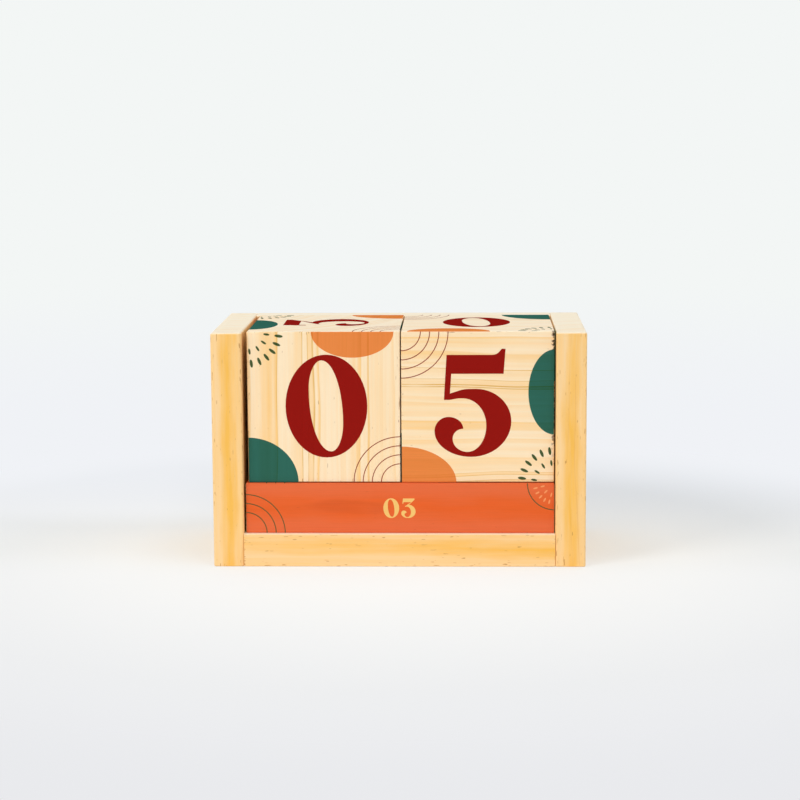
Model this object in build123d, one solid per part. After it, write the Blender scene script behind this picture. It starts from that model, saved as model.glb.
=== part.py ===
"""Wooden block desk calendar, in millimetres.

A pine holder, open at the front and the top, carries two date cubes side by side. Under the
cubes lie three square month bars, one behind the other, so that their four long faces each
give the twelve months. The cubes lift out and are turned to the wanted digit, and the month
bars pull out forwards from under the cubes.

Frame: +X to the reader's right, +Y away from the reader, +Z up. The origin is the middle of
the holder's footprint, on the surface that the calendar stands on.
"""
from build123d import *
import os

# Date cubes
cube_side = 50.0
cube_edge_radius = 0.4
cube_gap = 0.4              # between the two cubes
cube_left_gap = 1.6         # left cube to the left board
cube_right_gap = 0.4        # right cube to the right board
cube_front_setback = 2.5    # front faces of the cubes behind the holder's front
cube_back_gap = 0.5         # least room behind the cubes
cube_proud = 0.2            # tops of the cubes above the boards

# Month bars, square in section
bar_side = 16.7
bar_edge_radius = 0.4
bar_names = ["front", "middle", "rear"]
bar_gap = 0.3               # between one bar and the next
bar_left_gap = 0.7
bar_right_gap = 0.3
bar_front_setback = 1.5
bar_back_gap = 0.5          # least room behind the last bar

# Boards of the holder
side_thickness = 10.0
base_thickness = 11.0
back_thickness = 9.0
board_edge_radius = 0.7     # edges that a hand meets
board_foot_radius = 0.4     # edges along the table

# Blind dowels that join the base and the back to the side boards
dowel_diameter = 4.0
dowel_chamfer = 0.5
dowel_in_inner_board = 10.0     # length of a dowel in the base or the back
dowel_cover = 3.5               # wood left outside the blind hole in a side board
dowel_clearance = 0.05          # round the dowel, for glue
dowel_end_room = 0.5            # past each end of the dowel
base_dowel_margin = 13.0        # dowels from the base's front and rear edges
back_dowel_margin = 16.0        # dowels from the back's lower and upper edges

# Sizes that follow
pocket_width = cube_left_gap + 2 * cube_side + cube_gap + cube_right_gap
bar_row_depth = len(bar_names) * bar_side + (len(bar_names) - 1) * bar_gap
pocket_depth = max(
    cube_front_setback + cube_side + cube_back_gap,
    bar_front_setback + bar_row_depth + bar_back_gap,
)
holder_width = pocket_width + 2 * side_thickness
holder_depth = pocket_depth + back_thickness
bar_length = pocket_width - bar_left_gap - bar_right_gap
cube_floor = base_thickness + bar_side
holder_height = cube_floor + cube_side - cube_proud
back_height = holder_height - base_thickness
front_y = -holder_depth / 2
back_board_y = front_y + pocket_depth + back_thickness / 2
pocket_left_x = -pocket_width / 2
left_cube_x = pocket_left_x + cube_left_gap
dowel_in_side = side_thickness - dowel_cover - dowel_end_room
dowel_length = dowel_in_side + dowel_in_inner_board
dowel_hole_radius = dowel_diameter / 2 + dowel_clearance


def block(size_x, size_y, size_z, low_x, low_y, low_z):
    """A box from its sizes and its lowest corner."""
    box = Box(size_x, size_y, size_z, align=(Align.MIN, Align.MIN, Align.MIN))
    return Pos(low_x, low_y, low_z) * box


def edges_at(shape, axis, position):
    """The edges of a shape that lie wholly at one coordinate on an axis."""
    return shape.edges().filter_by_position(axis, position, position)


def dowel_seats():
    """Name, side (-1 left, +1 right), y and z of each dowel's axis."""
    base_places = {
        "front": front_y + base_dowel_margin,
        "rear": front_y + holder_depth - base_dowel_margin,
    }
    back_levels = {
        "lower": base_thickness + back_dowel_margin,
        "upper": holder_height - back_dowel_margin,
    }
    seats = []
    for side_name, side in (("left", -1), ("right", 1)):
        for place, y in base_places.items():
            seats.append((f"base_dowel_{side_name}_{place}", side, y, base_thickness / 2))
        for level, z in back_levels.items():
            seats.append((f"back_dowel_{side_name}_{level}", side, back_board_y, z))
    return seats


def along_x(solid, low_x, y, z):
    """Lays a solid that stands on the origin along +X, from low_x, on the line through y and z."""
    return Pos(low_x, y, z) * Rot(0, 90, 0) * solid


def dowel_low_x(side):
    """Lowest X of a dowel on one side of the holder."""
    if side > 0:
        return pocket_width / 2 - dowel_in_inner_board
    return -pocket_width / 2 - dowel_in_side


def rod(radius, length):
    """A round rod that stands on the origin."""
    return Cylinder(radius, length, align=(Align.CENTER, Align.CENTER, Align.MIN))


def dowel(side, y, z):
    pin = rod(dowel_diameter / 2, dowel_length)
    pin = chamfer(pin.edges().filter_by(GeomType.CIRCLE), dowel_chamfer)
    return along_x(pin, dowel_low_x(side), y, z)


def dowel_hole(side, y, z):
    """The drilling for one dowel, into both boards that it joins."""
    drilling = rod(dowel_hole_radius, dowel_length + 2 * dowel_end_room)
    return along_x(drilling, dowel_low_x(side) - dowel_end_room, y, z)


def drill(board, sides, board_name=""):
    """Cuts the holes of the dowels on the given sides, for one inner board or both."""
    for name, side, y, z in dowel_seats():
        if side in sides and name.startswith(board_name):
            board -= dowel_hole(side, y, z)
    return board


def side_board(side):
    low_x = pocket_width / 2 if side > 0 else -pocket_width / 2 - side_thickness
    board = block(side_thickness, holder_depth, holder_height, low_x, front_y, 0)
    foot_edges = edges_at(board, Axis.Z, 0)
    hand_edges = board.edges() - foot_edges
    board = fillet(hand_edges, board_edge_radius)
    board = fillet(edges_at(board, Axis.Z, 0), board_foot_radius)
    return drill(board, (side,))


def base_board():
    board = block(pocket_width, holder_depth, base_thickness, pocket_left_x, front_y, 0)
    front_edges = edges_at(board, Axis.Y, front_y).filter_by(Axis.X)
    top_front = front_edges.sort_by(Axis.Z)[-1]
    board = fillet(top_front, board_edge_radius)
    foot_edges = edges_at(board, Axis.Z, 0).filter_by(Axis.X)
    board = fillet(foot_edges, board_foot_radius)
    return drill(board, (-1, 1), "base")


def back_board():
    low_y = front_y + pocket_depth
    board = block(
        pocket_width, back_thickness, back_height, pocket_left_x, low_y, base_thickness
    )
    top_edges = edges_at(board, Axis.Z, holder_height).filter_by(Axis.X)
    board = fillet(top_edges, board_edge_radius)
    return drill(board, (-1, 1), "back")


def date_cube(low_x):
    low_y = front_y + cube_front_setback
    cube = block(cube_side, cube_side, cube_side, low_x, low_y, cube_floor)
    return fillet(cube.edges(), cube_edge_radius)


def month_bar(place):
    low_x = pocket_left_x + bar_left_gap
    low_y = front_y + bar_front_setback + place * (bar_side + bar_gap)
    bar = block(bar_length, bar_side, bar_side, low_x, low_y, base_thickness)
    return fillet(bar.edges(), bar_edge_radius)


parts = {
    "left_side_board": side_board(-1),
    "right_side_board": side_board(1),
    "base_board": base_board(),
    "back_board": back_board(),
    "tens_cube": date_cube(left_cube_x),
    "units_cube": date_cube(left_cube_x + cube_side + cube_gap),
}
for place, name in enumerate(bar_names):
    parts[f"month_bar_{name}"] = month_bar(place)
for name, side, y, z in dowel_seats():
    parts[name] = dowel(side, y, z)

os.makedirs("parts", exist_ok=True)
for name, solid in parts.items():
    export_step(solid, f"parts/{name}.step")

print(f"holder {holder_width:.1f} x {holder_depth:.1f} x {holder_height:.1f} mm")
print(f"cubes stand {cube_floor:.1f} mm up, bars are {bar_length:.1f} mm long")
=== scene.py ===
"""Finishes the block desk calendar: pine boards, printed date cubes and month bars, on a pale stage.

Lengths are in metres, in the frame of the packed model: +X to the reader's right, +Y away from
the reader, +Z up, with the origin under the middle of the holder.
"""

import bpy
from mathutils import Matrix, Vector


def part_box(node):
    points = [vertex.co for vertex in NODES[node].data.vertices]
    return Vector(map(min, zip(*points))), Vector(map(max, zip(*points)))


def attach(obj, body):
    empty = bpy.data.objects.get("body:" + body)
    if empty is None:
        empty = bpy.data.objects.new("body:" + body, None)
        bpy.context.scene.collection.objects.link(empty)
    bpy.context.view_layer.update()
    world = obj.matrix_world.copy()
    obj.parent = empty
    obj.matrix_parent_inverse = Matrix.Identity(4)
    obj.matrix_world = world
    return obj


bl_info = {
    "name": "Block Desk Calendar",
    "version": (1, 0, 0),
    "blender": (4, 5, 0),
    "location": "View3D > Sidebar > Calendar",
    "description": "Finishes a pine block calendar with printed cubes and month bars",
    "category": "Object",
}

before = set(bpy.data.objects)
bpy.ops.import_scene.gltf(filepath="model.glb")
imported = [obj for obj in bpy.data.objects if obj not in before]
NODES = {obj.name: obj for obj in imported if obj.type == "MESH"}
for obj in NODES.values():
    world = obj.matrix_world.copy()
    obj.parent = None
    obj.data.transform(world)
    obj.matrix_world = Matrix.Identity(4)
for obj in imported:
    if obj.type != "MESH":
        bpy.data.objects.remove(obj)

from math import cos, pi, radians, sin

import bpy
from bpy.props import FloatProperty, FloatVectorProperty, PointerProperty
from mathutils import Euler, Matrix, Vector

MM = 0.001
X, Y, Z = Vector((1, 0, 0)), Vector((0, 1, 0)), Vector((0, 0, 1))

# The print on the blocks ----------------------------------------

# Each face: the directions to its right and up, as a reader sees it
CUBE_FACES = {
    "front": (X, Z),
    "right": (Y, Z),
    "back": (-X, Z),
    "left": (-Y, Z),
    "top": (X, Y),
    "bottom": (X, -Y),
}
# The same of a bar: front, top, back and bottom. A bar rolls over on its long axis, so each
# face reads upright when it comes to the front.
BAR_FACES = ((X, Z), (X, Y), (X, -Z), (X, -Y))

# The body that each block moves with
CUBE_BODIES = {"tens_cube": "tens_block", "units_cube": "units_block"}
BAR_BODIES = {
    "month_bar_front": "front_month",
    "month_bar_middle": "middle_month",
    "month_bar_rear": "rear_month",
}

# Digit and quarter turns of each cube face. A 6 turned over is the 9.
CUBE_DIGITS = {
    "tens_cube": {
        "front": ("0", 0), "right": ("1", 1), "back": ("2", 2),
        "left": ("4", 3), "top": ("3", 1), "bottom": ("8", 0),
    },
    "units_cube": {
        "front": ("5", 0), "right": ("6", 1), "back": ("1", 2),
        "left": ("2", 3), "top": ("0", 0), "bottom": ("7", 0),
    },
}
# How far a digit was printed off the middle of its face, to its own right and upwards
OFF_CENTRE = {
    ("tens_cube", "front"): (0.9 * MM, 0.4 * MM),
    ("tens_cube", "top"): (1.6 * MM, 0.5 * MM),
    ("units_cube", "front"): (-1.6 * MM, 0.6 * MM),
    ("units_cube", "top"): (-0.3 * MM, 1.8 * MM),
}
# Layout and quarter turns of the pattern on each cube face
CUBE_PATTERNS = {
    "tens_cube": {
        "front": ("hills", 0), "right": ("suns", 1), "back": ("hills", 2),
        "left": ("suns", 3), "top": ("suns", 2), "bottom": ("hills", 1),
    },
    "units_cube": {
        "front": ("suns", 0), "right": ("hills", 3), "back": ("suns", 2),
        "left": ("hills", 1), "top": ("hills", 2), "bottom": ("suns", 3),
    },
}
# Month on each face of a bar
BAR_MONTHS = {
    "month_bar_front": ("03", "04", "01", "02"),
    "month_bar_middle": ("05", "06", "07", "08"),
    "month_bar_rear": ("09", "10", "11", "12"),
}

# Outlines of the digits, in thousandths of a digit's height from the middle of its foot.
# A point is x, y and the heading of the outline there in degrees: none where straight lines
# meet, one where it runs on smoothly, two (arriving, leaving) at a corner of curves.
DIGIT_UNITS = 1000
SIX = [
    [
        (0, 0, 180), (-385, 440, 90), (40, 1000, 0), (330, 770, -90), (222, 650, 180),
        (95, 758, 90, 0), (180, 850, 90), (60, 955, 180), (-160, 560, -90, 40),
        (80, 622, 0), (385, 310, -90),
    ],
    [(-165, 350, 90), (-10, 572, 0), (150, 275, -90), (25, 50, 180)],
]


def turned_over(loop):
    """One loop of a digit's outline, upside down."""
    return [
        (-x, DIGIT_UNITS - y, *(None if turn is None else turn + 180 for turn in turns))
        for x, y, *turns in loop
    ]


DIGITS = {
    "0": [
        [(-394, 500, 90), (0, 1000, 0), (394, 500, -90), (0, 0, 180)],
        [(-170, 661, 90), (-45, 945, 0), (160, 339, -90), (44, 59, 180)],
    ],
    "1": [[
        (175, 1000), (175, 140, None, -90), (300, 58, 0, None), (300, 0), (-225, 0),
        (-225, 58, None, 0), (-75, 140, 90, None), (-75, 835, None, 180),
        (-250, 790, 190, None), (-250, 838, None, 15), (70, 1000, 45, None),
    ]],
    "2": [[
        (-93, 726, 0, -90), (-234, 611, 180), (-350, 745, 90), (0, 1000, 0),
        (352, 715, -90), (-85, 190, 222, None), (225, 190, None, 0),
        (322, 310, 75, None), (365, 310), (340, 0), (-355, 0), (-355, 75, None, 35),
        (95, 700, 90), (-52, 952, 180), (-195, 823, -90),
    ]],
    "3": [[
        (-275, 990), (300, 990), (300, 930), (15, 662, None, 8), (355, 330, -90),
        (-16, 0, 180), (-362, 245, 90), (-234, 380, 0), (-96, 268, -90, 180),
        (-195, 175, -90), (-52, 48, 0), (122, 300, 90), (-90, 585, 180),
        (-170, 568, 190, None), (-170, 600), (150, 808), (-215, 808, None, 180),
        (-262, 725, -90, None), (-300, 725),
    ]],
    "4": [
        [
            (255, 1000), (255, 330), (395, 330), (395, 240), (255, 240),
            (255, 135, None, -90), (360, 58, 0, None), (360, 0), (-85, 0),
            (-85, 58, None, 0), (25, 135, 90, None), (25, 240), (-400, 240),
            (-400, 325), (95, 1000),
        ],
        [(25, 330), (25, 800), (-305, 330)],
    ],
    "5": [[
        (-252, 990), (169, 990, None, 0), (278, 1050, 50, None), (313, 1048),
        (294, 808), (-207, 808), (-220, 616, None, 18), (32, 661, 0),
        (369, 347, -90), (-16, 0, 180), (-369, 250, 90), (-234, 389, 0),
        (-93, 274, -90, 180), (-195, 177, -90), (-52, 48, 0), (129, 306, 90),
        (-97, 570, 180), (-226, 555, 188, None), (-278, 555),
    ]],
    "6": SIX,
    "7": [[
        (-310, 990), (355, 990), (355, 915, None, 236), (70, 0, -90, None),
        (-190, 0, None, 90), (190, 808, 50, None), (-215, 808, None, 180),
        (-290, 690, -90, None), (-332, 690),
    ]],
    "8": [
        [
            (0, 1000, 0), (318, 762, -90), (190, 535, 212, -32), (385, 262, -90),
            (0, 0, 180), (-385, 262, 90), (-190, 535, 32, 148), (-318, 762, 90),
        ],
        [(-118, 795, 90), (-28, 948, 0), (118, 728, -90), (30, 585, 180)],
        [(-165, 305, 90), (-48, 495, 0), (165, 238, -90), (44, 52, 180)],
    ],
    "9": [turned_over(loop) for loop in SIX],
}
ROUND = 0.5523          # handle of a quarter circle, as a share of its radius
LEAST_HANDLE = 0.25     # shortest handle, as a share of one that heads for the next point
CURVE_STEPS = 14        # straight steps from one point of an outline to the next


def srgb(red, green, blue):
    """A colour as it shows on screen, 0 to 255, for a node or a property."""
    shares = [c / 255 for c in (red, green, blue)]
    return (*(s / 12.92 if s <= 0.04045 else ((s + 0.055) / 1.055) ** 2.4 for s in shares), 1.0)


def colour(name, description, *values):
    return FloatVectorProperty(
        name=name, description=description, default=srgb(*values),
        subtype="COLOR", size=4, min=0, max=1,
    )


def amount(name, description, value, unit="NONE"):
    return FloatProperty(name=name, description=description, default=value, unit=unit)


def length(name, description, value):
    return amount(name, description, value, "LENGTH")


def angle(name, description, value):
    return amount(name, description, value, "ROTATION")


def share(name, description, value):
    return FloatProperty(
        name=name, description=description, default=value, min=0, max=1, subtype="FACTOR"
    )


class PineProperties(bpy.types.PropertyGroup):
    """The bare wood of the holder, the cubes and the dowels."""

    board_pale: colour("Board pale", "Pale wood of the boards", 254, 216, 162)
    board_amber: colour("Board amber", "Warm streaks of the boards", 250, 192, 88)
    board_line: colour("Board line", "Dark grain lines of the boards", 230, 160, 72)
    # Painted light: the paler colour on the upper sides stands in for the light and sheen that they
    # catch
    board_top_light: colour("Board top", "Painted_light wood on the boards' upper sides", 255, 240, 214)
    cube_pale: colour("Cube pale", "Pale wood of the cubes", 255, 232, 198)
    cube_amber: colour("Cube amber", "Warm streaks of the cubes", 252, 205, 134)
    cube_line: colour("Cube line", "Dark grain lines of the cubes", 222, 170, 74)
    # Painted light on the cubes' upper sides, as on the boards'
    cube_top_light: colour("Cube top", "Painted_light wood on the cubes' upper sides", 255, 241, 218)
    cube_top_light_share: share("Cube toplight", "How far the cubes' upper sides are bleached", 0.5)
    fleck: colour("Fleck", "Short brown marks in the grain of the cubes", 150, 96, 44)
    board_fleck: colour("Board fleck", "Short marks in the grain of the boards", 190, 128, 60)
    # Painted shade on the down-facing eased edges, where the cubes sit on the bars
    underside_shade: colour("Underside_shade", "Edges that a block stands on", 104, 52, 20)
    edge_specks: colour("Specked", "Specks along one edge of the units cube", 62, 36, 12)
    dowel: colour("Dowel", "Turned dowel wood", 214, 170, 120)
    roughness: share("Roughness", "How matt the sanded wood is", 0.5)
    board_pitch: length("Board rings", "Spacing of the boards' growth rings", 5.2 * MM)
    cube_pitch: length("Cube rings", "Spacing of the cubes' growth rings", 4.5 * MM)


class PrintProperties(bpy.types.PropertyGroup):
    """The inks on the cubes and the month bars."""

    digit_red: colour("Digit red", "Ink of the large digits", 147, 25, 20)
    teal: colour("Teal", "Ink of the dark patches", 50, 104, 92)
    orange: colour("Orange", "Ink of the light patches", 234, 138, 72)
    line_red: colour("Line red", "Ink of the thin arcs on the cubes", 150, 62, 44)
    line_green: colour("Line green", "Ink of the arcs on the bars and the seeds", 74, 92, 58)
    bar_orange: colour("Bar orange", "Ink all over the month bars", 231, 108, 62)
    bar_deep: colour("Bar deep", "The same ink over the warm grain", 231, 98, 38)
    bar_line: colour("Bar line", "The same ink over the dark grain lines", 196, 78, 34)
    bar_fleck: colour("Bar fleck", "The same ink over short marks in the grain", 176, 70, 30)
    cream: colour("Cream", "Ink of the month numbers", 246, 201, 120)
    peach: colour("Peach", "Ink of the seeds on the bars", 246, 160, 104)
    film: length("Ink film", "How far a layer of ink stands off the wood", 0.015 * MM)
    digit_height: length("Digit height", "Height of the digits on the cubes' sides", 34.0 * MM)
    top_digit_height: length("Top digits", "Height of the digits on top and below", 28.7 * MM)
    month_height: length("Month height", "Height of the month numbers", 6.6 * MM)
    line_width: length("Line width", "Width of the thin arcs", 0.28 * MM)
    eased: length("Eased edge", "Radius of the blocks' edges, which the ink runs over", 0.4 * MM)


class StageProperties(bpy.types.PropertyGroup):
    """The floor, the lamps and the camera."""

    floor: colour("Floor", "Pale table round the calendar", 253, 253, 251)
    behind: colour("Behind", "Cool paper just behind the calendar", 240, 242, 246)
    fading: colour("Fading", "Table towards the reader, where it falls into shade", 233, 234, 237)
    far: colour("Far", "Paper high up behind the calendar", 243, 246, 245)
    glow: share("Glow", "Share of the table's own colour that no shadow reaches", 0.25)
    front_glow: share("Front glow", "The same share in front of the calendar", 0.75)
    left_glow: share("Left glow", "The same share behind the calendar on the left", 0.8)
    surround_tint: colour("Surround tint", "Tint of the even light all round", 248, 253, 255)
    surround: amount("Surround", "Strength of the even light all round", 0.38)
    key_tint: colour("Key tint", "Tint of the lamps at the front", 255, 253, 246)
    left_power: amount("Left key", "Power of the lamp at the front left", 8.0, "POWER")
    right_power: amount("Right key", "Power of the lamp at the front right", 7.2, "POWER")
    top_tint: colour("Top tint", "Tint of the lamp overhead", 246, 249, 253)
    top_power: amount("Top", "Power of the lamp overhead", 5.6, "POWER")
    lens: amount("Lens", "Focal length of the camera", 96.4, "CAMERA")
    camera_x: length("Camera X", "Camera to the right of the calendar", 21.8 * MM)
    camera_distance: length("Camera distance", "Camera in front of the calendar", 720.6 * MM)
    camera_height: length("Camera height", "Camera above the table", 157.6 * MM)
    camera_dip: angle("Camera dip", "How far the camera looks down", 0.1469)
    camera_swing: angle("Camera swing", "How far the camera looks to the left", 0.0309)
    camera_roll: angle("Camera roll", "How far the camera leans", -0.0054)


# Nodes ----------------------------------------


def node(tree, kind, inputs=None, **settings):
    """Adds a shader node, with its settings and with its inputs linked or set."""
    made = tree.nodes.new(f"ShaderNode{kind}")
    for name, value in settings.items():
        setattr(made, name, value)
    for name, value in (inputs or {}).items():
        if isinstance(value, bpy.types.NodeSocket):
            tree.links.new(value, made.inputs[name])
        else:
            made.inputs[name].default_value = value
    return made


def maths(tree, operation, *values, clamp=False):
    made = node(tree, "Math", dict(enumerate(values)), operation=operation)
    made.use_clamp = clamp
    return made.outputs[0]


def times(tree, first, second):
    return maths(tree, "MULTIPLY", first, second)


def vector_maths(tree, operation, *values):
    return node(
        tree, "VectorMath", dict(enumerate(values)), operation=operation
    ).outputs[0]


def mix(tree, factor, first, second, mode="MIX"):
    """Mixes two colours."""
    made = node(tree, "Mix", data_type="RGBA", blend_type=mode, clamp_factor=True)
    for socket, value in zip((made.inputs[0], made.inputs[6], made.inputs[7]), (factor, first, second)):
        if isinstance(value, bpy.types.NodeSocket):
            tree.links.new(value, socket)
        else:
            socket.default_value = value
    return made.outputs[2]


def ramp(tree, factor, stops):
    """A curve through the stops (place, height or colour), eased between them."""
    made = node(tree, "ValToRGB", {0: factor})
    made.color_ramp.interpolation = "EASE"
    points = made.color_ramp.elements
    while len(points) < len(stops):
        points.new(0.5)
    for point, (place, height) in zip(points, stops):
        point.position = place
        point.color = height if isinstance(height, tuple) else (height, height, height, 1)
    return made.outputs[0]


def noise(tree, place, scale, detail=2.0):
    """Soft noise, stretched by a smaller scale along one axis."""
    stretched = vector_maths(tree, "MULTIPLY", place, scale)
    return node(
        tree, "TexNoise", {"Vector": stretched, "Scale": 1.0, "Detail": detail}
    )


def new_material(name):
    """A material with only its output and its main shader."""
    made = bpy.data.materials.new(name)
    made.use_nodes = True
    made.node_tree.nodes.clear()
    shader = node(made.node_tree, "BsdfPrincipled")
    node(made.node_tree, "OutputMaterial", {"Surface": shader.outputs[0]})
    return made, made.node_tree, shader


class Grain:
    """The grain of one piece of wood, as sockets from 0 to 1 in a material's nodes.

    The rings lie round a heart line that runs along the grain. across is the place in
    millimetres with the grain along its Z. wear is how much more flecked the edges of a block
    are than its faces, and rarity is how strong the noise has to be before a fleck shows.
    """

    TURNS = {"Z": Euler((0, 0, 0)), "X": Euler((0, radians(-90), 0))}
    SWAY = 4                    # how far the rings wander to and fro, in millimetres
    EDGE_REACH = 1.4 * MM       # how far the wear of a block's edges reaches in
    SPECK_REACH = 1.3 * MM     # how far dark specks reach in from the edge
    MATT_SPREAD = 0.16          # how much the roughness varies from fibre to fibre
    RELIEF = 0.03 * MM          # depth of the grain

    def __init__(self, tree, along, heart, pitch, piece=None, wear=0.08, rarity=0.77):
        self.tree = tree
        self.find_place(along, heart)
        self.add_rings(pitch / MM)
        self.add_fibres()
        self.add_flecks(piece, wear, rarity)

    def find_place(self, along, heart):
        """Sets the place on the object and the place across the grain from the heart line."""
        tree = self.tree
        turn = self.TURNS[along]
        shift = -(turn.to_matrix() @ Vector(heart)) / MM
        places = node(tree, "TexCoord").outputs
        self.object_place = places["Object"]
        self.facing_up = node(tree, "SeparateXYZ", {0: places["Normal"]}).outputs[2]
        self.across = node(
            tree, "Mapping",
            {
                "Vector": self.object_place, "Location": shift,
                "Rotation": turn, "Scale": (1 / MM,) * 3,
            },
        ).outputs[0]

    def add_rings(self, pitch):
        """Sets band, the warm late wood of each ring, and line, the dark line that ends it."""
        tree = self.tree
        sway = noise(tree, self.across, (0.05, 0.05, 0.012)).outputs["Color"]
        sway = vector_maths(tree, "SUBTRACT", sway, (0.5, 0.5, 0.5))
        swayed = vector_maths(tree, "MULTIPLY_ADD", sway, (self.SWAY,) * 3, self.across)
        flat = vector_maths(tree, "MULTIPLY", swayed, (1, 1, 0))
        radius = node(tree, "VectorMath", {0: flat}, operation="LENGTH").outputs[1]

        # Rings of uneven width
        uneven = node(
            tree, "TexNoise", {"W": times(tree, radius, 0.09), "Detail": 1.0},
            noise_dimensions="1D",
        ).outputs[0]
        phase = maths(tree, "DIVIDE", radius, pitch)
        phase = maths(tree, "MULTIPLY_ADD", uneven, 1.5, phase)
        ring = maths(tree, "FLOOR", phase)
        within = maths(tree, "FRACT", phase)

        # Chance makes each ring more or less warm, and marks some of them with a line
        chance = node(
            tree, "TexWhiteNoise", {"W": ring}, noise_dimensions="1D"
        ).outputs["Color"]
        chances = node(tree, "SeparateColor", {0: chance}).outputs
        band = ramp(tree, within, [(0.0, 0.0), (0.2, 0.04), (0.66, 0.8), (0.86, 1.0), (1.0, 0.0)])
        self.band = times(tree, band, maths(tree, "MULTIPLY_ADD", chances[0], 0.75, 0.25))
        line = ramp(tree, within, [(0.84, 0.0), (0.9, 1.0), (0.93, 1.0), (0.97, 0.0)])
        marked = ramp(tree, chances[1], [(0.35, 0.0), (0.95, 1.0)])
        fading = noise(tree, self.across, (0.1, 0.1, 0.04)).outputs[0]
        fading = ramp(tree, fading, [(0.3, 0.25), (0.6, 1.0)])
        self.line = times(tree, times(tree, line, marked), fading)

    def add_fibres(self):
        """Sets the fine fibres, the strands that they lie in and broad paler and warmer parts."""
        tree = self.tree
        self.fibre = noise(tree, self.across, (3.4, 3.4, 0.07), 3.0).outputs[0]
        self.strands = noise(tree, self.across, (0.9, 0.9, 0.022)).outputs[0]
        broad = noise(tree, self.across, (0.09, 0.09, 0.02)).outputs[0]
        self.broad = ramp(tree, broad, [(0.35, 0), (0.65, 1)])

    def add_flecks(self, piece, wear, rarity):
        """Sets the short marks in the grain, more of them along the edges of a block."""
        tree = self.tree
        specks = noise(tree, self.across, (2.3, 2.3, 0.32), 1.0).outputs[0]
        if piece:
            specks = maths(tree, "MULTIPLY_ADD", self.near_edge(piece), wear, specks)
        self.fleck = ramp(tree, specks, [(rarity, 0.0), (rarity + 0.05, 1.0)])

    def near_edge(self, piece):
        """1 on the edges of a block and 0 further in, from its second nearest face."""
        low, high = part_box(piece)
        tree = self.tree
        off = vector_maths(tree, "SUBTRACT", self.object_place, (low + high) / 2)
        off = node(tree, "VectorMath", {0: off}, operation="ABSOLUTE").outputs[0]
        depths = vector_maths(tree, "SUBTRACT", (high - low) / 2, off)
        x, y, z = node(tree, "SeparateXYZ", {0: depths}).outputs
        total = maths(tree, "ADD", maths(tree, "ADD", x, y), z)
        largest = maths(tree, "MAXIMUM", maths(tree, "MAXIMUM", x, y), z)
        least = maths(tree, "MINIMUM", maths(tree, "MINIMUM", x, y), z)
        second = maths(tree, "SUBTRACT", maths(tree, "SUBTRACT", total, largest), least)
        return maths(tree, "MULTIPLY_ADD", second, -1 / self.EDGE_REACH, 1.0, clamp=True)

    def wood_colour(self, pale, amber, line, fleck, streak=None):
        """The colour of the bare wood. A streak is a warm band of its own."""
        tree = self.tree
        warm = maths(tree, "MULTIPLY_ADD", self.broad, 0.18, times(tree, self.band, 0.9))
        if streak is not None:
            warm = maths(tree, "MAXIMUM", times(tree, warm, 0.5), streak)

        # Strands and fibres make it warmer or paler
        warm = maths(tree, "MULTIPLY_ADD", self.strands, 0.6, maths(tree, "SUBTRACT", warm, 0.28))
        warm = maths(tree, "MULTIPLY_ADD", self.fibre, 0.4, maths(tree, "SUBTRACT", warm, 0.2))
        shade = mix(tree, warm, pale, amber)
        shade = mix(tree, times(tree, self.line, 0.95), shade, line)
        shade = mix(tree, times(tree, self.fleck, 0.7), shade, fleck)
        return self.with_fibre(shade, 0.1)

    def painted_light_on_top(self, shade, painted_pale, strength=1.0):
        """Paints the light and sheen that upper sides catch: a second, paler colour takes over on what
        faces up.
        """
        tree = self.tree
        up = ramp(tree, self.facing_up, [(0.3, 0.0), (0.95, 1.0)])
        top = self.with_fibre(painted_pale, 0.1)
        top = mix(tree, times(tree, self.band, 0.25), top, shade)
        return mix(tree, times(tree, up, strength), shade, top)

    def painted_shade_below(self, shade, underside_shade, piece):
        """Paints shade on the down-facing eased edges that a block stands on."""
        tree = self.tree
        down = ramp(tree, times(tree, self.facing_up, -1), [(0.02, 0.0), (0.3, 1.0)])
        edge = ramp(tree, self.near_edge(piece), [(0.5, 0.0), (0.7, 1.0)])
        return mix(tree, times(tree, down, edge), shade, underside_shade)

    def specked_edge(self, shade, edge_specks, piece):
        """Dark specks along the upper part of a block's front right edge."""
        low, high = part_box(piece)
        tree = self.tree
        x, y, z = node(tree, "SeparateXYZ", {0: self.object_place}).outputs
        reach = self.SPECK_REACH
        inwards = maths(tree, "MULTIPLY_ADD", x, -1 / reach, high.x / reach)
        close = ramp(tree, inwards, [(0.35, 1.0), (1.0, 0.0)])
        front = maths(tree, "LESS_THAN", y, low.y + reach)
        level = maths(tree, "SUBTRACT", z, low.z)
        level = maths(tree, "DIVIDE", level, high.z - low.z)
        level = ramp(tree, level, [(0.08, 0.0), (0.4, 1.0)])
        spots = noise(tree, self.across, (1.3, 0.7, 1.3), 3.0).outputs[0]
        spots = ramp(tree, spots, [(0.46, 0.0), (0.56, 1.0)])
        share_dark = times(tree, times(tree, close, front), spots)
        return mix(tree, times(tree, share_dark, level), shade, edge_specks)

    def with_fibre(self, shade, strength):
        """Lightens and darkens a colour along the fine fibres."""
        tree = self.tree
        lift = maths(tree, "SUBTRACT", self.fibre, 0.5)
        lift = maths(tree, "MULTIPLY_ADD", lift, strength, 1.0)
        grey = node(tree, "CombineColor", {0: lift, 1: lift, 2: lift}).outputs[0]
        return mix(tree, 1.0, shade, grey, "MULTIPLY")

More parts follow.
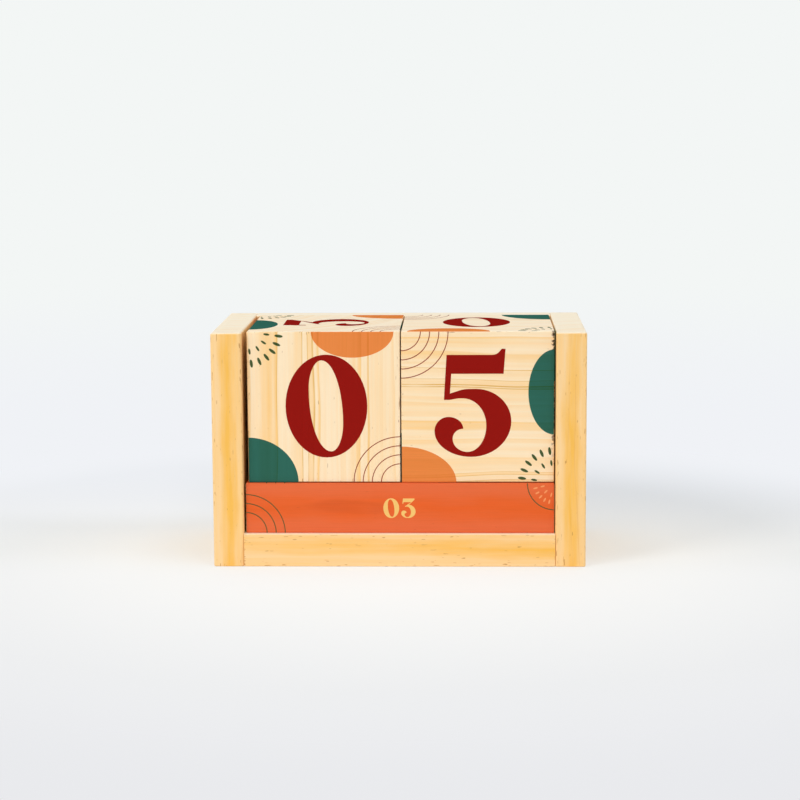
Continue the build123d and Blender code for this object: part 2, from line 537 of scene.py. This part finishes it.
    def finish(self, shader, shade, roughness, gloss=0.25):
        """Gives the main shader its colour, its gloss and the relief of the grain."""
        tree = self.tree
        tree.links.new(shade, shader.inputs["Base Color"])
        spread = self.MATT_SPREAD
        matt = maths(tree, "MULTIPLY_ADD", self.fibre, spread, roughness - spread / 2)
        tree.links.new(matt, shader.inputs["Roughness"])
        shader.inputs["Specular IOR Level"].default_value = gloss
        height = maths(tree, "SUBTRACT", self.fibre, times(tree, self.line, 0.6))
        bump = node(
            tree, "Bump", {"Strength": 0.35, "Distance": self.RELIEF, "Height": height}
        )
        tree.links.new(bump.outputs[0], shader.inputs["Normal"])


# Grain direction and heart line of each piece of wood: the rings lie round the heart line
BOARD_WOOD = {
    "left_side_board": ("Z", (-0.075, 0.055, 0)),
    "right_side_board": ("Z", (0.092, -0.090, 0)),
    "base_board": ("X", (0, 0.050, -0.045)),
    "back_board": ("X", (0, 0.015, 0.130)),
}
CUBE_WOOD = {
    "tens_cube": ("Z", (-0.0745, 0.030, 0)),
    "units_cube": ("X", (0, 0.045, -0.038)),
}
BAR_WOOD = {
    "month_bar_front": ("X", (0, 0.012, 0.0195)),
    "month_bar_middle": ("X", (0, 0.030, -0.020)),
    "month_bar_rear": ("X", (0, -0.020, 0.060)),
}
DOWEL_WOOD = ("X", (0, 0.02, 0.02))
# How flecked the wood is, where it isn't as the grain has it by itself
BOARD_FLECKS = {"wear": 0.1, "rarity": 0.72}
CUBE_FLECKS = {"wear": 0.14}
SPECKED_CUBE = "units_cube"
# A warm streak of late wood along a piece: the axis of the thickness that it lies in the middle
# of, how far off the middle it starts and ends (mm), its width as a share of the thickness and
# its strength at the start and the end
STREAKS = {
    "left_side_board": (0, 0.6, 0.2, 0.85, 0.95, 0.9),
    "right_side_board": (0, 0.0, 0.5, 0.85, 0.9, 0.9),
    "base_board": (2, 2.6, -0.4, 0.8, 0.5, 1.0),
    "back_board": (1, 1.0, 0.0, 0.8, 0.8, 0.8),
    "month_bar_front": (2, 0.4, 0.0, 0.75, 1.0, 1.0),
    "month_bar_middle": (2, 2.0, -1.0, 0.75, 0.8, 0.8),
    "month_bar_rear": (2, -2.0, 1.0, 0.75, 0.8, 0.8),
}
STREAK_SWAY = 5.0 * MM      # how far a streak wanders to and fro
GRAIN_AXIS = {"X": 0, "Z": 2}


def warm_streak(grain, piece, along):
    """1 in the middle of a piece's warm streak and 0 outside it."""
    low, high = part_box(piece)
    axis, start, end, reach, first, last = STREAKS[piece]
    tree = grain.tree
    places = node(tree, "SeparateXYZ", {0: grain.object_place}).outputs
    run = GRAIN_AXIS[along]
    done = node(
        tree, "MapRange", {"Value": places[run], "From Min": low[run], "From Max": high[run]}
    ).outputs[0]
    middle = (low[axis] + high[axis]) / 2 + start * MM
    middle = maths(tree, "MULTIPLY_ADD", done, (end - start) * MM, middle)
    strength = maths(tree, "MULTIPLY_ADD", done, last - first, first)
    sway = noise(tree, grain.across, (0.12, 0.12, 0.045)).outputs[0]
    sway = maths(tree, "MULTIPLY_ADD", sway, STREAK_SWAY, -STREAK_SWAY / 2)
    off = maths(tree, "SUBTRACT", maths(tree, "ADD", places[axis], sway), middle)
    half = (high[axis] - low[axis]) / 2 * reach
    off = maths(tree, "DIVIDE", maths(tree, "ABSOLUTE", off), half)
    streak = ramp(tree, off, [(0.0, 1.0), (0.3, 0.8), (1.0, 0.0)])
    streak = times(tree, streak, strength)
    patchy = noise(tree, grain.across, (0.4, 0.4, 0.06), 3.0).outputs[0]
    patchy = maths(tree, "MULTIPLY_ADD", patchy, 1.1, 0.4)
    return times(tree, streak, patchy)


def dress(name, material):
    """Gives a node of the model its material."""
    slots = NODES[name].data.materials
    slots.clear()
    slots.append(material)


class CALENDAR_OT_boards(bpy.types.Operator):
    """Give the four boards of the holder their pine"""

    bl_idname = "calendar.boards"
    bl_label = "Pine Boards"

    def execute(self, context):
        pine = context.scene.calendar_pine
        for board, (along, heart) in BOARD_WOOD.items():
            material, tree, shader = new_material(f"pine_{board}")
            grain = Grain(tree, along, heart, pine.board_pitch, board, **BOARD_FLECKS)
            shade = grain.wood_colour(
                pine.board_pale, pine.board_amber, pine.board_line, pine.board_fleck,
                warm_streak(grain, board, along),
            )
            # Painted light and sheen on the boards' upper sides
            shade = grain.painted_light_on_top(shade, pine.board_top_light)
            grain.finish(shader, shade, pine.roughness)
            dress(board, material)
        return {"FINISHED"}


class CALENDAR_OT_dowels(bpy.types.Operator):
    """Give the hidden dowels their plain turned wood"""

    bl_idname = "calendar.dowels"
    bl_label = "Dowels"

    def execute(self, context):
        pine = context.scene.calendar_pine
        material, tree, shader = new_material("turned_dowel")
        grain = Grain(tree, *DOWEL_WOOD, pine.board_pitch)
        shade = mix(tree, grain.band, pine.dowel, pine.board_line)
        shade = grain.with_fibre(shade, 0.3)
        grain.finish(shader, shade, pine.roughness)
        for name in NODES:
            if "dowel" in name:
                dress(name, material)
        return {"FINISHED"}


class CALENDAR_OT_cubes(bpy.types.Operator):
    """Give the two date cubes their pale pine"""

    bl_idname = "calendar.cubes"
    bl_label = "Date Cubes"

    def execute(self, context):
        pine = context.scene.calendar_pine
        for cube, (along, heart) in CUBE_WOOD.items():
            material, tree, shader = new_material(f"pine_{cube}")
            grain = Grain(tree, along, heart, pine.cube_pitch, cube, **CUBE_FLECKS)
            shade = grain.wood_colour(pine.cube_pale, pine.cube_amber, pine.cube_line, pine.fleck)
            # Painted light and sheen on the cubes' upper sides
            shade = grain.painted_light_on_top(shade, pine.cube_top_light, pine.cube_top_light_share)
            # Painted shade under the cube's lower edges
            shade = grain.painted_shade_below(shade, pine.underside_shade, cube)
            # Dark specks along the units cube's front right edge, beside the gap at the right board
            if cube == SPECKED_CUBE:
                shade = grain.specked_edge(shade, pine.edge_specks, cube)
            grain.finish(shader, shade, pine.roughness)
            dress(cube, material)
        return {"FINISHED"}


class CALENDAR_OT_bars(bpy.types.Operator):
    """Give the month bars their orange ink, with bare ends"""

    bl_idname = "calendar.bars"
    bl_label = "Month Bars"

    GRAIN_SHOWS = 0.35      # how far dark grain shows through the ink
    ROUGHNESS, GLOSS = 0.55, 0.15

    def execute(self, context):
        pine = context.scene.calendar_pine
        inks = context.scene.calendar_print
        for bar, (along, heart) in BAR_WOOD.items():
            low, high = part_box(bar)
            material, tree, shader = new_material(f"printed_{bar}")
            grain = Grain(tree, along, heart, pine.cube_pitch, bar)
            streak = warm_streak(grain, bar, along)
            warm = maths(tree, "MAXIMUM", times(tree, grain.band, 0.5), streak)
            ink = mix(tree, warm, inks.bar_orange, inks.bar_deep)
            for marks, shade in ((grain.line, inks.bar_line), (grain.fleck, inks.bar_fleck)):
                ink = mix(tree, times(tree, marks, self.GRAIN_SHOWS), ink, shade)
            ink = grain.with_fibre(ink, 0.14)
            bare = grain.wood_colour(pine.cube_pale, pine.cube_amber, pine.cube_line, pine.fleck)
            place = node(tree, "SeparateXYZ", {0: grain.object_place}).outputs[0]
            off = maths(tree, "ABSOLUTE", maths(tree, "SUBTRACT", place, (low.x + high.x) / 2))
            end = maths(tree, "GREATER_THAN", off, (high.x - low.x) / 2 - inks.eased / 4)
            grain.finish(shader, mix(tree, end, ink, bare), self.ROUGHNESS, self.GLOSS)
            dress(bar, material)
        return {"FINISHED"}


# Flat print ----------------------------------------

DISC_SIDES, SEED_SIDES = 96, 20
ARC_STEP = 3.0 * MM     # from one arc of a set to the next
SEED_WIDTH = 0.36       # as a share of a seed's length
# Rows of seeds in a fan: how many, how far out and half the length of one
CUBE_SEEDS = ((4, 6.6 * MM, 1.0 * MM), (6, 10.6 * MM, 1.35 * MM))
BAR_SEEDS = ((3, 4.0 * MM, 0.75 * MM), (5, 6.4 * MM, 0.75 * MM))


def deselect_all():
    bpy.ops.object.select_all(action="DESELECT")


def choose(*shapes):
    """Selects only these objects, the first of them active."""
    deselect_all()
    for shape in shapes:
        shape.select_set(True)
    bpy.context.view_layer.objects.active = shapes[0]


def joined(shapes):
    """Joins flat shapes into the first of them."""
    choose(*shapes)
    if len(shapes) > 1:
        bpy.ops.object.join()
    return bpy.context.view_layer.objects.active


def edit(shape):
    """Starts editing a shape, with all of it selected."""
    choose(shape)
    bpy.ops.object.mode_set(mode="EDIT")
    bpy.ops.mesh.select_all(action="SELECT")


def disc(x, y, radius_x, radius_y=None, turn=0.0, sides=DISC_SIDES):
    """A filled round or oval patch."""
    deselect_all()
    bpy.ops.mesh.primitive_circle_add(
        vertices=sides, radius=1, fill_type="NGON", location=(x, y, 0), rotation=(0, 0, turn)
    )
    made = bpy.context.object
    made.scale = (radius_x, radius_y or radius_x, 1)
    bpy.ops.object.transform_apply()
    return made


def arc_line(x, y, radius, width):
    """A thin ring, made from a disc by insetting it and taking out the middle."""
    made = disc(x, y, radius)
    edit(made)
    bpy.ops.mesh.inset(thickness=width)
    bpy.ops.mesh.delete(type="FACE")
    bpy.ops.object.mode_set(mode="OBJECT")
    return made


def arc_set(x, y, first, count, width):
    """Rings round one point, the first of them the smallest."""
    return [arc_line(x, y, first + ARC_STEP * i, width) for i in range(count)]


def seed_fan(x, y, rows, start, spread):
    """Rows of small oval marks that fan out round a point."""
    made = []
    for count, reach, size in rows:
        for i in range(count):
            turn = start + spread * i / (count - 1)
            place = (x + cos(turn) * reach, y + sin(turn) * reach)
            made.append(disc(*place, size, size * SEED_WIDTH, turn, SEED_SIDES))
    return made


def clipped(shape, half_right, half_up, eased):
    """Cuts a flat sheet off at its face's edges, with folds where the edges start to round."""
    edit(shape)
    for side, half in ((X, half_right), (-X, half_right), (Y, half_up), (-Y, half_up)):
        bpy.ops.mesh.select_all(action="SELECT")
        bpy.ops.mesh.bisect(plane_co=side * half, plane_no=side, clear_outer=True)
        for fold in (half - eased, half - eased / 2):
            bpy.ops.mesh.select_all(action="SELECT")
            bpy.ops.mesh.bisect(plane_co=side * fold, plane_no=side)
    bpy.ops.object.mode_set(mode="OBJECT")
    return shape


def headings(point):
    """Heading in which the outline arrives at a point and in which it leaves, None for straight."""
    turns = point[2:]
    if not turns:
        return None, None
    return turns[0], turns[-1]


def handle(start, end, heading, side):
    """The place of a curve handle: side 1 runs ahead of start, -1 behind it."""
    place = Vector((*start[:2], 0))
    if heading is None:
        return place
    way = Vector((cos(radians(heading)), sin(radians(heading)), 0))
    run = Vector((*end[:2], 0)) - place
    reach = ROUND * max(abs(run.dot(way)), LEAST_HANDLE * run.length)
    return place + way * reach * side


def digit(name, height, x=0.0, y=0.0):
    """One digit as a flat mesh, its middle at x and y."""
    deselect_all()
    bpy.ops.curve.primitive_bezier_curve_add()
    made = bpy.context.object
    made.data.dimensions = "2D"
    made.data.fill_mode = "BOTH"
    made.data.resolution_u = CURVE_STEPS
    made.data.splines.clear()
    for loop in DIGITS[name]:
        spline = made.data.splines.new("BEZIER")
        spline.bezier_points.add(len(loop) - 1)
        spline.use_cyclic_u = True
        for i, point in enumerate(loop):
            before, after = loop[i - 1], loop[(i + 1) % len(loop)]
            arriving, leaving = headings(point)
            curve_point = spline.bezier_points[i]
            curve_point.handle_left_type = curve_point.handle_right_type = "FREE"
            curve_point.co = (*point[:2], 0)
            curve_point.handle_left = handle(point, before, arriving, -1)
            curve_point.handle_right = handle(point, after, leaving, 1)
    scale = height / DIGIT_UNITS
    made.scale = (scale, scale, 1)
    made.location = (x, y - height / 2, 0)
    choose(made)
    bpy.ops.object.convert(target="MESH")
    bpy.ops.object.transform_apply()
    return made


def half_size(block, way):
    """Half of a block's size along one of its axes."""
    low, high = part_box(block)
    return sum(abs(w) * size for w, size in zip(way, high - low)) / 2


def face_matrix(block, right, up, quarter_turns=0):
    """Takes a flat shape in the plane of X and Y onto one face of a block."""
    low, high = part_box(block)
    out = right.cross(up)
    turned = Matrix((right, up, out)).transposed().to_4x4()
    spin = Matrix.Rotation(quarter_turns * pi / 2, 4, "Z")
    return Matrix.Translation((low + high) / 2 + out * half_size(block, out)) @ turned @ spin


def onto_face(shape, matrix):
    choose(shape)
    shape.matrix_world = matrix
    bpy.ops.object.transform_apply()
    return shape


def printed(name, shapes, block, layer, material, body, film):
    """Lays joined flat shapes on a block as one film of ink, in the given layer."""
    piece = joined(shapes)
    piece.name = piece.data.name = name
    wrap = piece.modifiers.new("lie_on_wood", "SHRINKWRAP")
    wrap.target = NODES[block]
    wrap.wrap_method = "NEAREST_SURFACEPOINT"
    # The film stands its layers off the wood and sinks in by half of one, so no gap shows
    sunk = film / 2
    thick = piece.modifiers.new("film", "SOLIDIFY")
    thick.thickness = film * layer + sunk
    thick.offset = 2 * film * layer / thick.thickness - 1
    for modifier in list(piece.modifiers):
        bpy.ops.object.modifier_apply(modifier=modifier.name)
    bpy.ops.object.shade_flat()
    piece.data.materials.clear()
    piece.data.materials.append(material)
    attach(piece, body)


# Layers of ink, counted from the wood. Lines and digits share one, because they never cross.
PATCH_LAYER, LINE_LAYER, DIGIT_LAYER = 1, 2, 2


def pattern_shapes(layout, half, width):
    """Flat shapes of one cube face by ink. The face runs from -half to half both ways."""
    if layout == "hills":
        return {
            "teal": [disc(-half, -half, 16.5 * MM, 15.0 * MM)],
            "orange": [disc(9.5 * MM, half, 13.5 * MM, 8.6 * MM)],
            "line": arc_set(half, -half, 6.4 * MM, 4, width),
            "seed": seed_fan(-half, half, CUBE_SEEDS, radians(-82), radians(74)),
        }
    return {
        "teal": [disc(half, 5.0 * MM, 8.5 * MM, 14.0 * MM)],
        "orange": [disc(-half, -half, 18.0 * MM, 12.0 * MM)],
        "line": arc_set(-half, half, 6.5 * MM, 4, width),
        "seed": seed_fan(half, -half, CUBE_SEEDS, radians(98), radians(74)),
    }


# What the warm bands and the dark lines of the grain leave of an ink's red, green and blue
BAND_TINT = (0.93, 0.88, 0.78, 1)
LINE_TINT = (0.84, 0.7, 0.35, 1)
INK_ROUGHNESS, INK_GLOSS = 0.65, 0.0


def ink_on_wood(name, shade, wood, pitch, show=1.0):
    """Matt ink through which the grain of the block below shows a little."""
    material, tree, shader = new_material(name)
    grain = Grain(tree, *wood, pitch)
    banded = tuple(c * t for c, t in zip(shade, BAND_TINT))
    lined = tuple(c * t for c, t in zip(shade, LINE_TINT))
    toned = mix(tree, times(tree, grain.band, show), shade, banded)
    toned = mix(tree, times(tree, grain.line, show), toned, lined)
    toned = grain.with_fibre(toned, 0.15 * show)
    grain.finish(shader, toned, INK_ROUGHNESS, INK_GLOSS)
    return material


class CALENDAR_OT_cube_pattern(bpy.types.Operator):
    """Print the patches, arcs and seeds on the six faces of each date cube"""

    bl_idname = "calendar.cube_pattern"
    bl_label = "Cube Pattern"

    def execute(self, context):
        pine = context.scene.calendar_pine
        inks = context.scene.calendar_print
        shades = {
            "teal": (inks.teal, PATCH_LAYER), "orange": (inks.orange, PATCH_LAYER),
            "line": (inks.line_red, LINE_LAYER), "seed": (inks.line_green, LINE_LAYER),
        }
        for cube, body in CUBE_BODIES.items():
            sheets = {ink: [] for ink in shades}
            for face, (right, up) in CUBE_FACES.items():
                layout, turns = CUBE_PATTERNS[cube][face]
                half = half_size(cube, right)
                matrix = face_matrix(cube, right, up, turns)
                for ink, shapes in pattern_shapes(layout, half, inks.line_width).items():
                    sheet = clipped(joined(shapes), half, half, inks.eased)
                    sheets[ink].append(onto_face(sheet, matrix))
            for ink, (shade, layer) in shades.items():
                material = ink_on_wood(
                    f"{ink}_ink_{cube}", tuple(shade), CUBE_WOOD[cube], pine.cube_pitch
                )
                printed(
                    f"{cube}_{ink}_print", sheets[ink], cube, layer, material,
                    body, inks.film,
                )
        return {"FINISHED"}


class CALENDAR_OT_cube_digits(bpy.types.Operator):
    """Print a large digit on each face of the date cubes"""

    bl_idname = "calendar.cube_digits"
    bl_label = "Cube Digits"

    def execute(self, context):
        pine = context.scene.calendar_pine
        inks = context.scene.calendar_print
        for cube, body in CUBE_BODIES.items():
            shapes = []
            for face, (right, up) in CUBE_FACES.items():
                name, turns = CUBE_DIGITS[cube][face]
                matrix = face_matrix(cube, right, up, turns)
                height = inks.top_digit_height if face in ("top", "bottom") else inks.digit_height
                place = OFF_CENTRE.get((cube, face), (0, 0))
                shapes.append(onto_face(digit(name, height, *place), matrix))
            material = ink_on_wood(
                f"red_ink_{cube}", tuple(inks.digit_red), CUBE_WOOD[cube], pine.cube_pitch,
                show=0.2,
            )
            printed(
                f"{cube}_digits", shapes, cube, DIGIT_LAYER, material,
                body, inks.film,
            )
        return {"FINISHED"}


class CALENDAR_OT_bar_print(bpy.types.Operator):
    """Print the month numbers, arcs and seeds on the four long faces of each bar"""

    bl_idname = "calendar.bar_print"
    bl_label = "Bar Print"

    NUMBER_SPACING = 0.86       # middle to middle of two digits, as a share of their height

    def execute(self, context):
        pine = context.scene.calendar_pine
        inks = context.scene.calendar_print
        for bar, body in BAR_BODIES.items():
            numbers, arcs, marks = [], [], []
            for month, (right, up) in zip(BAR_MONTHS[bar], BAR_FACES):
                half_right, half_up = half_size(bar, right), half_size(bar, up)
                matrix = face_matrix(bar, right, up)
                step = inks.month_height * self.NUMBER_SPACING
                for place, name in zip((-step / 2, step / 2), month):
                    shape = digit(name, inks.month_height, place)
                    numbers.append(onto_face(shape, matrix))
                rings = arc_set(-half_right, -half_up, 7.0 * MM, 3, inks.line_width)
                rings += arc_set(half_right, half_up, 9.0 * MM, 1, inks.line_width)
                fan = seed_fan(half_right, half_up, BAR_SEEDS, radians(195), radians(60))
                for sheets, shapes in ((arcs, rings), (marks, fan)):
                    sheet = clipped(joined(shapes), half_right, half_up, inks.eased)
                    sheets.append(onto_face(sheet, matrix))
            for name, shapes, shade in (
                ("numbers", numbers, inks.cream),
                ("arcs", arcs, inks.line_green),
                ("seeds", marks, inks.peach),
            ):
                material = ink_on_wood(
                    f"{name}_ink_{bar}", tuple(shade), BAR_WOOD[bar], pine.cube_pitch, show=0.3
                )
                printed(
                    f"{bar}_{name}", shapes, bar, LINE_LAYER, material,
                    body, inks.film,
                )
        return {"FINISHED"}


# The stage ----------------------------------------

FLOOR_SIZE = 8.0
LAMP_TARGET = Vector((0, 0, 0.04))      # about the middle of the calendar


class CALENDAR_OT_stage(bpy.types.Operator):
    """Set up the pale floor, the lamps and the camera"""

    bl_idname = "calendar.stage"
    bl_label = "Stage"

    def execute(self, context):
        look = context.scene.calendar_stage
        self.add_floor(look)
        self.add_surround(context, look)
        for name, place, size, tint, power in (
            ("key_left", (-1.0, -0.85, 0.6), 0.6, look.key_tint, look.left_power),
            ("key_right", (1.0, -0.85, 0.6), 1.5, look.key_tint, look.right_power),
            ("overhead", (0.0, 0.1, 1.3), 0.9, look.top_tint, look.top_power),
        ):
            self.add_lamp(name, place, size, tint, power)
        self.add_camera(context, look)
        context.scene.view_settings.view_transform = "Standard"
        return {"FINISHED"}

    @staticmethod
    def add_floor(look):
        deselect_all()
        bpy.ops.mesh.primitive_plane_add(size=FLOOR_SIZE)
        floor = bpy.context.object
        floor.name = "floor"
        material, tree, shader = new_material("pale_paper")
        place = node(tree, "TexCoord").outputs["Object"]
        right, away = node(tree, "SeparateXYZ", {0: place}).outputs[:2]
        distance = node(tree, "VectorMath", {0: place}, operation="LENGTH").outputs[1]

        # The colour all round, and the one behind, which changes from 0.2 to 1 metre away
        near = ramp(tree, distance, [(0.02, tuple(look.floor)), (0.28, tuple(look.fading))])
        behind = ramp(tree, times(tree, away, 0.5), [
            (0.1, tuple(look.behind)), (0.5, tuple(look.far)),
        ])
        turn = ramp(tree, away, [(0.0, 0.0), (0.14, 1.0)])
        shade = mix(tree, turn, near, behind)
        tree.links.new(shade, shader.inputs["Base Color"])
        shader.inputs["Roughness"].default_value = 0.9
        shader.inputs["Specular IOR Level"].default_value = 0.1

        # How much of it no shadow dims, as the camera sees it. Further off that is all of it,
        # so the paper runs into the backdrop without a horizon.
        shift = 0.07        # brings what lies in front into the reach of the ramp
        front = maths(tree, "ADD", away, shift)
        front = ramp(tree, front, [(0.02, look.front_glow), (shift, look.glow)])
        left = ramp(tree, times(tree, right, -1), [(0.02, 0.0), (0.1, look.left_glow)])
        left = times(tree, left, ramp(tree, away, [(0.01, 0.0), (0.07, 1.0)]))
        far = ramp(tree, distance, [(0.09, 0.0), (0.22, 1.0)])
        far = maths(tree, "MAXIMUM", maths(tree, "MAXIMUM", front, left), far)
        seen = node(tree, "LightPath").outputs["Is Camera Ray"]
        plain = node(tree, "Emission", {"Color": shade, "Strength": 1.0})
        both = node(
            tree, "MixShader",
            {0: times(tree, seen, far), 1: shader.outputs[0], 2: plain.outputs[0]},
        )
        tree.links.new(both.outputs[0], tree.nodes["Material Output"].inputs["Surface"])
        floor.data.materials.append(material)

    @staticmethod
    def add_surround(context, look):
        world = bpy.data.worlds.new("pale_room")
        context.scene.world = world
        world.use_nodes = True
        tree = world.node_tree
        tree.nodes.clear()
        # The camera and what gleams see the pale backdrop, and the wood gets the softer light
        path = node(tree, "LightPath").outputs
        seen = maths(
            tree, "MAXIMUM", path["Is Camera Ray"],
            maths(tree, "MAXIMUM", path["Is Glossy Ray"], path["Is Transmission Ray"]),
        )
        light = node(
            tree, "Background", {"Color": look.surround_tint, "Strength": look.surround}
        )
        picture = node(tree, "Background", {"Color": look.far, "Strength": 1.0})
        both = node(
            tree, "MixShader", {0: seen, 1: light.outputs[0], 2: picture.outputs[0]}
        )
        node(tree, "OutputWorld", {"Surface": both.outputs[0]})

    @staticmethod
    def add_lamp(name, place, size, tint, power):
        deselect_all()
        bpy.ops.object.light_add(type="AREA", location=place)
        lamp = bpy.context.object
        lamp.name = name
        lamp.data.size = size
        lamp.data.color = tint[:3]
        lamp.data.energy = power
        aim = LAMP_TARGET - Vector(place)
        lamp.rotation_euler = aim.to_track_quat("-Z", "Y").to_euler()

    @staticmethod
    def add_camera(context, look):
        deselect_all()
        bpy.ops.object.camera_add()
        camera = bpy.context.object
        camera.name = "camera"
        camera.data.lens = look.lens
        camera.data.clip_start = 10 * MM
        turn = Matrix.Rotation(look.camera_swing, 4, "Z")
        dip = Matrix.Rotation(pi / 2 - look.camera_dip, 4, "X")
        roll = Matrix.Rotation(look.camera_roll, 4, "Z")
        place = (look.camera_x, -look.camera_distance, look.camera_height)
        camera.matrix_world = Matrix.Translation(place) @ turn @ dip @ roll
        context.scene.camera = camera


class CALENDAR_PT_panel(bpy.types.Panel):
    """Steps that finish the calendar"""

    bl_label = "Block Calendar"
    bl_idname = "CALENDAR_PT_panel"
    bl_space_type = "VIEW_3D"
    bl_region_type = "UI"
    bl_category = "Calendar"

    def draw(self, context):
        for operator in OPERATORS:
            self.layout.operator(operator.bl_idname)
        for group in PROPERTY_GROUPS:
            box = self.layout.box()
            box.label(text=group.__doc__)
            settings = getattr(context.scene, PROPERTY_GROUPS[group])
            for name in group.__annotations__:
                box.prop(settings, name)


PROPERTY_GROUPS = {
    PineProperties: "calendar_pine",
    PrintProperties: "calendar_print",
    StageProperties: "calendar_stage",
}
OPERATORS = (
    CALENDAR_OT_stage,
    CALENDAR_OT_boards,
    CALENDAR_OT_dowels,
    CALENDAR_OT_cubes,
    CALENDAR_OT_bars,
    CALENDAR_OT_cube_pattern,
    CALENDAR_OT_cube_digits,
    CALENDAR_OT_bar_print,
)


def register():
    for group, name in PROPERTY_GROUPS.items():
        bpy.utils.register_class(group)
        setattr(bpy.types.Scene, name, PointerProperty(type=group))
    for operator in OPERATORS:
        bpy.utils.register_class(operator)
    bpy.utils.register_class(CALENDAR_PT_panel)


def unregister():
    bpy.utils.unregister_class(CALENDAR_PT_panel)
    for operator in reversed(OPERATORS):
        bpy.utils.unregister_class(operator)
    for group, name in PROPERTY_GROUPS.items():
        delattr(bpy.types.Scene, name)
        bpy.utils.unregister_class(group)


def main():
    register()
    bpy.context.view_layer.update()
    for operator in OPERATORS:
        area, name = operator.bl_idname.split(".")
        getattr(getattr(bpy.ops, area), name)()


if __name__ == "__main__":
    main()
